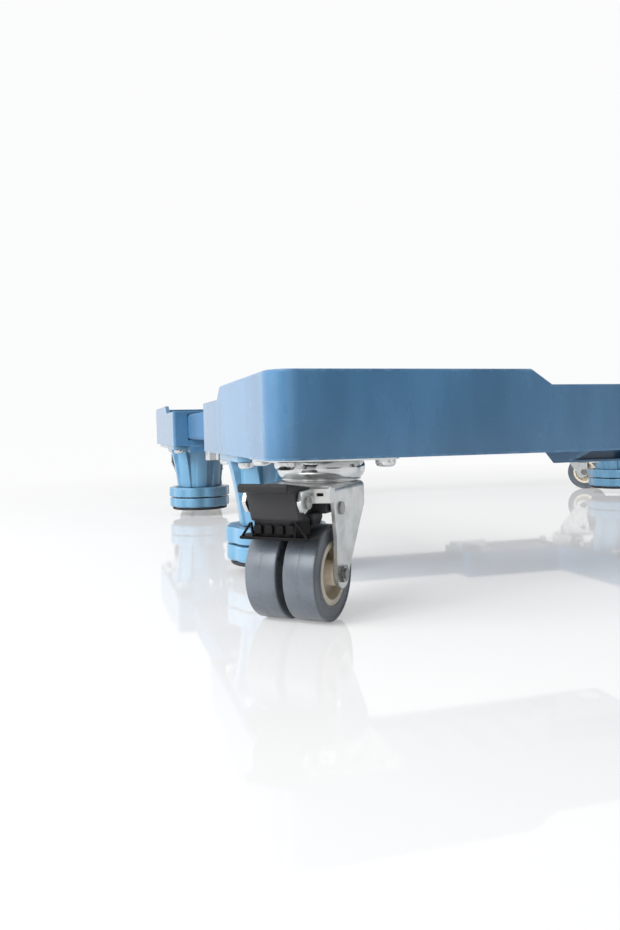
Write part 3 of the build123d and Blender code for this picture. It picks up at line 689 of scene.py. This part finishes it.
sole_finish, place, wear = new_finish("black_sole_rubber")
dust = place.noise(140.0, 4.0).step(0.45, 0.75)
fine = place.noise(1600.0, 2.0)
wear(
    Base_Color=(dust * 0.35).tint(SOLE_BLACK, SOLE_DUST),
    Roughness=0.62 + dust * 0.2,
    Normal=fine.bump(0.3, 0.0002),
)
for corner in CORNERS:
    sole = to_corner(at_foot(lathe(sole_section(), steps=144)), corner)
    make_piece(
        f"foot_sole_skin_{corner}", [(sole, True)],
        sole_finish, f"sole_{corner}", [f"foot_sole_{corner}"],
    )

# Caster plates: a pressed steel plate screwed into the bracket's seat, and the ball cup that is swaged under
# it. The zinc plating is bright, with faint streaks, clouds and dull spots.
ZINC = (0.72, 0.735, 0.735)
ZINC_STREAK = (0.66, 0.68, 0.64)
ZINC_SPOT = (0.42, 0.43, 0.42)
SWIVEL_AT = (37.5, 37.5)
# Half the side of the plate, its low and its high.
PLATE = (35.0, 81.986, 84.486)
PLATE_ROUND = 8.0
PLATE_EDGE = 0.5
CUP_TOP = PLATE[1] + 0.4
CUP_LOW = 72.59
LIP_LOW = 70.95
# Radius, height and corner radius of the cup's outside from the plate to the lip, and of its inside back up.
CUP_OUTSIDE = (
    (22.2, CUP_TOP, 0.2), (23.9, 80.4, 4.0), (24.6, 77.9, 4.0), (24.3, 75.2, 4.0), (23.2, 73.1, 3.0),
    (22.0, 71.9, 0.2), (21.8, 71.6, 0.1), (22.3, 71.4, 0.15), (22.1, LIP_LOW, 0.15),
)
CUP_INSIDE = (
    (20.6, LIP_LOW, 0.15), (20.6, CUP_LOW, 0.3), (19.0, CUP_LOW, 0.3), (19.0, 79.1, 1.0), (6.1, 79.1, 0.2),
    (6.1, CUP_TOP, 0.2),
)


def zinc_finish(name, colour, streak_scale, base_rough):
    """Zinc-plated sheet: drawn along the press direction in faint streaks, clouded, with pin-prick dull
    spots."""
    material, place, wear = new_finish(name)
    cloud = place.noise(70.0, 4.0)
    streak = place.stretch((1.0, 1.0, 0.12)).noise(streak_scale, 3.0)
    spot = place.noise(900.0, 2.0).step(0.62, 0.8)
    dull = cloud.step(0.42, 0.72)
    tone = dull.tint(colour, shade(colour, 0.80))
    tone = (streak.step(0.5, 0.75) * 0.35).tint(tone, ZINC_STREAK)
    wear(
        Base_Color=(spot * 0.4).tint(tone, ZINC_SPOT),
        Metallic=1.0,
        Roughness=base_rough + dull * 0.07 + streak * 0.05 + spot * 0.12,
        Normal=(streak * 0.6 + spot * 0.5).bump(0.06, 0.00012),
    )
    return material


plate_finish = zinc_finish("zinc_caster_plate", ZINC, streak_scale=380.0, base_rough=0.04)
cup_section = rounded_each(CUP_OUTSIDE + CUP_INSIDE, steps=8)
plate_loop = rounded(rectangle(PLATE[0], PLATE[0]), PLATE_ROUND, steps=12)
at_swivel = np.array([*SWIVEL_AT, 0.0])
for corner in CORNERS:
    plate = to_corner(slab(plate_loop, PLATE[1], PLATE[2], PLATE_EDGE) + at_swivel, corner)
    cup = to_corner(lathe(cup_section, steps=192) + at_swivel, corner)
    make_piece(
        f"caster_plate_skin_{corner}", [(plate, False), (cup, True)],
        plate_finish, f"base_{corner}", [f"caster_plate_{corner}"],
    )

# Caster forks: folded from one steel sheet, with a race pressed on top and two ears that carry the pedal.
# They are zinc-plated and a little duller than the cup.
FORK_ZINC = (0.74, 0.755, 0.745)

fork_finish = zinc_finish("zinc_caster_fork", FORK_ZINC, streak_scale=240.0, base_rough=0.30)
for corner in CORNERS:
    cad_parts[f"caster_fork_{corner}"].data.materials[0] = fork_finish

# Axle bolts and nuts, pedal pins, stop pins, king pins and bearing balls: plated steel, riveted or screwed
# into the fork.
# Darker than the fork's zinc: partly oil, and partly painted shade for the dark rings round the rivet heads.
PIN_STEEL_OIL_AND_SHADE = (0.30, 0.31, 0.30)

pin_finish = zinc_finish("plated_caster_pins", PIN_STEEL_OIL_AND_SHADE, streak_scale=300.0, base_rough=0.14)
for corner in CORNERS:
    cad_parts[f"caster_pins_{corner}"].data.materials[0] = pin_finish

# Brake pedals: black glass-filled nylon. A lip for the toe, a sloping face, a tail under the fork's top, and
# a shoe with open triangular wings that reaches across both treads. Each turns on a pin between the fork's
# ears. Its shapes are given about that pin.
PEDAL_BLACK = (0.036, 0.036, 0.039)
PEDAL_WORN = (0.048, 0.048, 0.052)
PEDAL_SCUFFED = (0.18, 0.18, 0.19)
# Painted shade: near black below the face, over the neck, studs, shoe, wings and lower flanks, and a darker
# tone on the lip.
PEDAL_PAINTED_SHADE = (0.003, 0.003, 0.0035)
PEDAL_LIP_PAINTED_SHADE = (0.010, 0.010, 0.011)
# Heights in metres between which the painted shade below gives way to the smooth face, and then the darker
# painted shade of the lip sets in.
PAINTED_SHADE_UP_TO = (0.0530, 0.0560)
LIP_PAINTED_SHADE_FROM = (0.0680, 0.0692)
PIVOT = (0.0, -53.646, 63.286)
# Outlines in Y and Z with the radius of each corner.
BODY = (
    (-16.5, 10.2, 1.3), (-16.5, 5.6, 1.1), (-9.0, 5.6, 1.2), (-3.5, -9.3, 1.2), (2.0, -9.3, 1.2),
    (20.5, -10.0, 0.8), (20.5, -2.0, 0.8), (9.7, 4.2, 0.8), (9.7, 6.7, 0.8),
)
TAIL = ((13.0, -2.0, 0.7), (13.0, -6.8, 0.7), (20.5, -6.8, 0.7), (20.5, -2.0, 0.7))
WEB = ((5.0, -6.0, 0.7), (5.0, -12.0, 0.7), (14.0, -12.0, 0.7), (17.0, -9.0, 0.7), (17.0, -6.0, 0.7))
NECK = ((-3.5, -8.5, 0.6), (-3.5, -18.2, 0.6), (2.0, -18.2, 0.6), (2.0, -8.5, 0.6))
SHOE = ((-5.8, -16.7, 0.5), (-5.8, -18.2, 0.5), (6.64, -18.55, 0.5), (6.64, -17.05, 0.5), (2.0, -16.2, 0.5))
# Each outline with the points of each arc, its width in X and the radius of its ends.
PEDAL_BARS = (
    (BODY, 6, 27.0, 1.0),
    (TAIL, 4, 40.0, 0.6),
    (WEB, 4, 33.0, 0.6),
    (NECK, 4, 22.0, 0.5),
    (SHOE, 4, 38.0, 0.5),
)
# Wing's outline in X and Z, its front and back, and the width of its bars.
WING = ((12.3, -8.6), (19.0, -18.2), (10.8, -18.2))
WING_SHEET = (-5.8, -4.2)
WING_BAR = 0.75
# Flank's inner side, front and back, and the outer side at its front; then the outer side at its back, with
# the height.
FLANK = (8.0, -3.5, 4.0, 11.4)
FLANK_LAYERS = ((12.4, -5.0), (12.8, -5.4), (15.6, -8.6), (15.6, -17.6))
# Middles of the studs in X, half their width, their low and high, and their front and back.
STUDS_AT = (-9.0, -3.0, 3.0, 9.0)
STUD_HALF = 2.2
STUD_HEIGHTS = (-15.5, -10.9)
STUD_SHEET = (-5.1, -3.0)


def bar_across(loop, half_width, edge):
    """Outline in Y and Z carried along X, with rounded ends."""
    grid = slab(loop, -half_width, half_width, edge)
    return np.stack([grid[..., 2], grid[..., 0], grid[..., 1]], -1)


def bar_deep(loop, front, back, edge):
    """Outline in X and Z carried along Y, with rounded ends."""
    grid = slab(loop, front, back, edge)
    return np.stack([grid[..., 0], grid[..., 2], grid[..., 1]], -1)


def open_triangle(side):
    """Wing: a rounded triangle and its inset, carried through the sheet as a closed ring of four edges."""
    outer = rounded([(side * x, z) for x, z in WING], 0.7)
    inner = inset(outer, WING_BAR)
    front, back = WING_SHEET
    rings = [(outer, front), (outer, back), (inner, back), (inner, front)]
    return np.stack([np.column_stack([loop[:, 0], np.full(len(loop), y), loop[:, 1]]) for loop, y in rings])


def gusset(side):
    """Flank: a stack of outlines seen from above, slanted at the side. The outer corner slides out as the
    height falls, from just outside the neck towards the end of the shoe."""
    inner, front, back, outer = FLANK
    layers = []
    for reach, height in FLANK_LAYERS:
        loop = rounded([(inner, front), (outer, front), (reach, back), (inner, back)], 0.4, steps=4)
        layers.append(np.column_stack([side * loop[:, 0], loop[:, 1], np.full(len(loop), height)]))
    return np.stack(layers)


def pedal_shells():
    """All solids of the pedal in the caster's frame."""
    shells = []
    for outline, steps, width, edge in PEDAL_BARS:
        shells.append((bar_across(rounded_each(outline, steps), width / 2, edge), False))
    shells += [(open_triangle(side), True) for side in (1, -1)]
    shells += [(gusset(side), False) for side in (1, -1)]
    low, high = STUD_HEIGHTS
    for middle in STUDS_AT:
        left, right = middle - STUD_HALF, middle + STUD_HALF
        stud = rounded([(left, low), (right, low), (right, high), (left, high)], 0.9, steps=5)
        shells.append((bar_deep(stud, *STUD_SHEET, edge=0.6), False))
    return [(grid + np.array(PIVOT), ring) for grid, ring in shells]


def on_swivel(points, corner):
    """From the caster's frame, with its swivel axis on Z, to one corner, turned as the caster stands."""
    side_x, side_y, degrees = CORNERS[corner]
    turn = radians(degrees)
    x = points[..., 0] * cos(turn) - points[..., 1] * sin(turn) + side_x * (BASE_HALF[0] - SWIVEL_AT[0])
    y = points[..., 0] * sin(turn) + points[..., 1] * cos(turn) + side_y * (BASE_HALF[1] - SWIVEL_AT[1])
    return np.stack([x, y, points[..., 2]], -1)


pedal_finish, place, wear = new_finish("black_pedal_nylon")
cloud = place.noise(60.0, 4.0)
grain = place.noise(1300.0, 2.0, 0.6)
scuff = scratches(place, (0.4, 0.3, 0.9), 520.0, 0.14) + scratches(place, (1.0, 1.2, 0.2), 480.0, 0.12)
worn = cloud.step(0.5, 0.72)
# Painted shade: under these heights the colour goes near black, and over the lip it goes darker.
smooth = place.part(2).step(*PAINTED_SHADE_UP_TO)
lip = place.part(2).step(*LIP_PAINTED_SHADE_FROM) * (0.55 + worn * 0.25)
tone = (scuff * 0.5).tint(worn.tint(PEDAL_BLACK, PEDAL_WORN), PEDAL_SCUFFED)
wear(
    Base_Color=lip.tint(smooth.tint(PEDAL_PAINTED_SHADE, tone), PEDAL_LIP_PAINTED_SHADE),
    Roughness=0.52 - smooth * 0.14 + worn * 0.10 + scuff * 0.15,
    Normal=(grain - scuff).bump(0.16, 0.0002),
    Specular_IOR_Level=0.25,
)
for corner in CORNERS:
    shells = [(on_swivel(grid, corner), ring) for grid, ring in pedal_shells()]
    make_piece(
        f"brake_pedal_skin_{corner}", shells,
        pedal_finish, f"pedal_{corner}", [f"brake_pedal_{corner}"],
    )

# Painted shade: two small black blocks, in the soles' rubber finish, on the inside of each fork's arms,
# behind the bends that lead to the ears, so that the slots in those bends show dark. They sit above the
# pedal's tail.
SLOT_SHADE_BLOCK = (14.6, 21.2, -41.0, -38.8, 64.7, 68.2)


def slot_shade_block(side):
    """Rounded rectangle in X and Z, carried along Y."""
    inner, outer, front, back, low, high = SLOT_SHADE_BLOCK
    corners = [(side * inner, low), (side * outer, low), (side * outer, high), (side * inner, high)]
    return bar_deep(rounded(corners, 0.6, steps=5), front, back, edge=0.5)


for corner in CORNERS:
    blocks = [(on_swivel(slot_shade_block(side), corner), False) for side in (-1, 1)]
    make_piece(f"slot_shade_blocks_{corner}", blocks, sole_finish, f"fork_{corner}", [])

# Tyres: grey polyurethane cast round the hubs, two to a caster. Smooth treads with crisp shoulders, a fine
# parting groove round the middle, and scuffs from the floor.
TYRE_GREY = (0.108, 0.124, 0.146)
TYRE_SCUFFED = (0.30, 0.30, 0.31)
TYRE_DUST = (0.24, 0.235, 0.225)
FLOOR_REACH = 0.006
AXLE = (0.0, -30.0, 25.0)
WHEEL_SIDES = {"left": -1, "right": 1}
WHEEL_RADIUS = 25.0
WHEEL_HALF = 17.3 / 2
WHEEL_OFFSET = 10.55
HUB_RADIUS = 16.7
# Half the width and the depth of the parting groove.
PARTING = (0.25, 0.08)
# Radius and depth of the points of the step in the sidewall.
SIDEWALL = ((23.2, 0.0), (22.8, 0.35), (18.4, 0.35), (18.0, 0.0))


def tyre_section():
    """Closed section of radius and distance along the axle: flat tread with a fine parting groove, small
    shoulders, and a shallow step in the sidewall."""
    half_groove, groove = PARTING
    outline = [(WHEEL_RADIUS, -WHEEL_HALF, 0.9), (WHEEL_RADIUS, -half_groove, 0.05)]
    outline += [(WHEEL_RADIUS - groove, 0.0, 0.05), (WHEEL_RADIUS, half_groove, 0.05)]
    outline += [(WHEEL_RADIUS, WHEEL_HALF, 0.9)]
    outline += [(radius, WHEEL_HALF - deep, 0.15) for radius, deep in SIDEWALL]
    outline += [(HUB_RADIUS, WHEEL_HALF, 0.2), (HUB_RADIUS, -WHEEL_HALF, 0.2)]
    outline += [(radius, deep - WHEEL_HALF, 0.15) for radius, deep in reversed(SIDEWALL)]
    return rounded_each(outline, steps=5)


def on_axle(grid, side, corner):
    """Turns a wheel piece from the Z axis onto the axle, outer face away from the middle, at its corner."""
    along = side * (grid[..., 2] + WHEEL_OFFSET)
    local = np.stack([along, grid[..., 0], grid[..., 1]], -1) + np.array(AXLE)
    return on_swivel(local, corner)


tyre_finish, place, wear = new_finish("grey_polyurethane_tyre")
cloud = place.noise(55.0, 4.0)
fine = place.noise(1100.0, 2.0)
floor_rub = near(place.part(2), 0.0, FLOOR_REACH) * place.noise(180.0, 3.0).step(0.4, 0.7)
scuff = scratches(place, (0.2, 0.7, 0.4), 480.0, 0.13)
tone = cloud.step(0.35, 0.7).tint(shade(TYRE_GREY, 0.88), shade(TYRE_GREY, 1.12))
tone = (scuff * 0.35).tint(tone, TYRE_SCUFFED)
wear(
    Base_Color=(floor_rub * 0.4).tint(tone, TYRE_DUST),
    Roughness=0.22 + cloud * 0.12 + scuff * 0.18 + floor_rub * 0.2,
    Normal=(fine * 0.7 + cloud - scuff * 0.4).bump(0.08, 0.0003),
)
for corner in CORNERS:
    for name, side in WHEEL_SIDES.items():
        tyre = on_axle(lathe(tyre_section(), steps=168), side, corner)
        make_piece(
            f"tyre_skin_{name}_{corner}", [(tyre, True)],
            tyre_finish, f"wheel_{name}_{corner}", [f"tyre_{name}_{corner}"],
        )

# Hubs: cream polypropylene cores that the tyres are cast on. A lip shows round a deep recess, and the boss in
# its middle runs on the axle bolt.
HUB_CREAM = (0.75, 0.67, 0.54)
HUB_SHADE = (0.47, 0.395, 0.29)
HUB_BORE = 2.66
# Radius, distance from the face outwards, and corner radius, on the outer face and then on the inner face.
HUB_OUTER = (
    (HUB_BORE, 1.7, 0.2), (6.5, 1.7, 0.6), (6.7, -6.0, 1.2), (12.9, -6.0, 1.4), (13.5, 0.0, 0.5),
    (HUB_RADIUS, 0.0, 0.4),
)
HUB_INNER = (
    (HUB_RADIUS, 0.0, 0.4), (13.5, 0.0, 0.5), (13.3, -2.0, 0.6), (6.6, -2.0, 0.6), (6.5, 0.0, 0.4),
    (HUB_BORE, 0.0, 0.2),
)


def hub_section():
    """Closed section of radius and distance along the axle: bore, boss, recess, lip, and the shallow inner
    dish."""
    outline = [(radius, WHEEL_HALF + out, edge) for radius, out, edge in HUB_OUTER]
    outline += [(radius, -out - WHEEL_HALF, edge) for radius, out, edge in HUB_INNER]
    return rounded_each(outline, steps=6)


hub_finish, place, wear = new_finish("cream_hub_plastic")
cloud = place.noise(80.0, 4.0)
fine = place.noise(1400.0, 2.0)
grime = place.noise(210.0, 4.0, 0.65).step(0.5, 0.78)
tone = cloud.step(0.35, 0.7).tint(HUB_CREAM, shade(HUB_CREAM, 0.90))
wear(
    Base_Color=(grime * 0.4).tint(tone, HUB_SHADE),
    Roughness=0.38 + cloud * 0.1 + grime * 0.12,
    Normal=fine.bump(0.14, 0.0002),
)
for corner in CORNERS:
    for name, side in WHEEL_SIDES.items():
        hub = on_axle(lathe(hub_section(), steps=144), side, corner)
        make_piece(
            f"hub_skin_{name}_{corner}", [(hub, True)],
            hub_finish, f"wheel_{name}_{corner}", [f"hub_{name}_{corner}"],
        )

# Studio floor: white and polished. It mirrors the base softly and keeps its shadow, and far from the base it
# fades into the white of the room.
FLOOR_HALF = 9.0
FLOOR_TONES = ((0.885, 0.887, 0.89), (0.90, 0.90, 0.90))
FLOOR_GLOW = (0.972, 0.974, 0.977, 1)
# Share of the glow near the base and what the distance adds, and the distances where that starts and ends.
GLOW_SHARE = (0.30, 0.70)
FADE_AT = (0.45, 1.25)
SEEN_BY = ("Camera", "Glossy", "Transmission")


def seen_by(tree):
    """Whether a ray comes from the camera, from a glossy face or through a clear one, as three values."""
    return [Wire(tree).add("ShaderNodeLightPath", {}, {}, f"Is {kind} Ray") for kind in SEEN_BY]


floor_mesh = bpy.data.meshes.new("studio_floor")
floor_mesh.from_pydata([(x, y, 0) for x, y in rectangle(FLOOR_HALF, FLOOR_HALF)], [], [(0, 1, 2, 3)])
floor = bpy.data.objects.new("studio_floor", floor_mesh)
bpy.context.scene.collection.objects.link(floor)
floor_finish, place, wear = new_finish("white_floor")
haze = place.noise(3.0, 3.0)
smear = place.noise(14.0, 4.0)
wear(
    Base_Color=haze.step(0.3, 0.7).tint(*FLOOR_TONES),
    Roughness=0.015 + smear * 0.05,
    Specular_IOR_Level=0.5,
)
tree = floor_finish.node_tree
camera_ray, glossy_ray, clear_ray = seen_by(tree)
rays = camera_ray + glossy_ray + clear_ray
glow = Wire(tree).add("ShaderNodeEmission", {}, {"Color": FLOOR_GLOW, "Strength": 1.0})
away = place.add("ShaderNodeVectorMath", {"operation": "LENGTH"}, {0: place}, "Value").step(*FADE_AT)
lit = Wire(tree, tree.nodes["Principled BSDF"].outputs[0])
share = (GLOW_SHARE[0] + away * GLOW_SHARE[1]) * rays
mixed = Wire(tree).add("ShaderNodeMixShader", {}, {0: share, 1: lit, 2: glow})
tree.links.new(mixed.socket, tree.nodes["Material Output"].inputs["Surface"])
floor_mesh.materials.append(floor_finish)

# Studio light: a white room, dimmer behind the camera but for soft panels, a soft box at the front left for
# the shadow, and a lower one beside the base for its left faces. Glossy faces mirror the panels and a soft
# glow where the front box stands, not the boxes themselves.
ROOM_WHITE = (0.995, 0.998, 1.0, 1)
# Levels are strengths of that white. Edges are where a part of the room starts and ends, as coordinates of
# the direction that is looked in.
ROOM_SEEN = 0.972
ROOM_LEVEL = 0.15
LEFT_EDGE = (-0.3, 0.9)
LEFT_LEVEL = 0.16
ABOVE_EDGE = (0.1, 0.9)
ABOVE_LEVEL = 0.06
AHEAD_EDGE = (-0.75, 0.35)
AHEAD_MIRRORED = 0.80
AHEAD_LIT = 0.28
PANEL_WAVE = (6.0, 3.3)
PANEL_EDGE = (-0.4, 0.9)
PANEL_LEVEL = 0.6
KEY_AT = (-2.9, -1.75, 2.2)
KEY_TARGET = (0.0, -0.1, 0.05)
KEY_EDGE = (0.93, 0.995)
KEY_LEVEL = 6.0
FILL_AT = (-1.65, -0.40, 0.45)
FILL_TARGET = (-0.33, -0.15, 0.05)

world = bpy.data.worlds.new("white_studio")
world.use_nodes = True
bpy.context.scene.world = world
tree = world.node_tree
toward = Wire(tree).add("ShaderNodeTexCoord", {}, {}, "Generated")
ahead = toward.part(1).step(*AHEAD_EDGE)
left = (0 - toward.part(0)).step(*LEFT_EDGE)
above = toward.part(2).step(*ABOVE_EDGE)
room = ROOM_LEVEL + left * LEFT_LEVEL + above * ABOVE_LEVEL
wave = toward.part(0) * PANEL_WAVE[0] + PANEL_WAVE[1]
panels = wave.maths("SINE", wave).step(*PANEL_EDGE) * (1 - ahead) * PANEL_LEVEL
to_key = tuple(Vector(KEY_AT).normalized())
key_glow = toward.part(0) * to_key[0] + toward.part(1) * to_key[1] + toward.part(2) * to_key[2]
key_glow = key_glow.step(*KEY_EDGE) * KEY_LEVEL
camera_ray, glossy_ray, clear_ray = seen_by(tree)
mirrored = glossy_ray + clear_ray
level = camera_ray * ROOM_SEEN + mirrored * (room + ahead * AHEAD_MIRRORED + panels + key_glow)
level = level + (1 - camera_ray - mirrored) * (room + ahead * AHEAD_LIT)
background = tree.nodes["Background"]
background.inputs["Color"].default_value = ROOM_WHITE
tree.links.new(level.socket, background.inputs["Strength"])


def soft_box(name, size, power, place, target):
    """Square lamp at a place, turned to face a target, that no glossy face mirrors."""
    light = bpy.data.lights.new(name, "AREA")
    light.size = size
    light.energy = power
    lamp = bpy.data.objects.new(name, light)
    lamp.location = place
    lamp.rotation_euler = (Vector(target) - Vector(place)).to_track_quat("-Z", "Y").to_euler()
    lamp.visible_glossy = False
    bpy.context.scene.collection.objects.link(lamp)


soft_box("key_box", size=1.6, power=96.0, place=KEY_AT, target=KEY_TARGET)
soft_box("fill_box", size=0.9, power=22.5, place=FILL_AT, target=FILL_TARGET)

# Camera: low in front of the near corner, fitted to the straight edges of the brackets. Its lens comes from
# the focal length in pixels of the image.
EYE = (-0.41409, -0.70767, 0.09884)
YAW, PITCH, ROLL = radians(16.024), radians(2.742), radians(-1.233)
FOCAL_PIXELS = 756.3
IMAGE_HEIGHT = 930

forward = Vector((sin(YAW) * cos(PITCH), cos(YAW) * cos(PITCH), -sin(PITCH)))
level_right = Vector((cos(YAW), -sin(YAW), 0))
level_up = level_right.cross(forward)
right = cos(ROLL) * level_right + sin(ROLL) * level_up
up = -sin(ROLL) * level_right + cos(ROLL) * level_up
view = bpy.data.cameras.new("photo_camera")
view.sensor_fit = "VERTICAL"
view.sensor_height = 36.0
view.lens = FOCAL_PIXELS / IMAGE_HEIGHT * view.sensor_height
view.clip_start = 0.01
camera = bpy.data.objects.new("photo_camera", view)
axes = Matrix((right, up, -forward)).transposed().to_4x4()
camera.matrix_world = Matrix.Translation(EYE) @ axes
bpy.context.scene.collection.objects.link(camera)
bpy.context.scene.camera = camera
bpy.context.scene.view_settings.view_transform = "Standard"
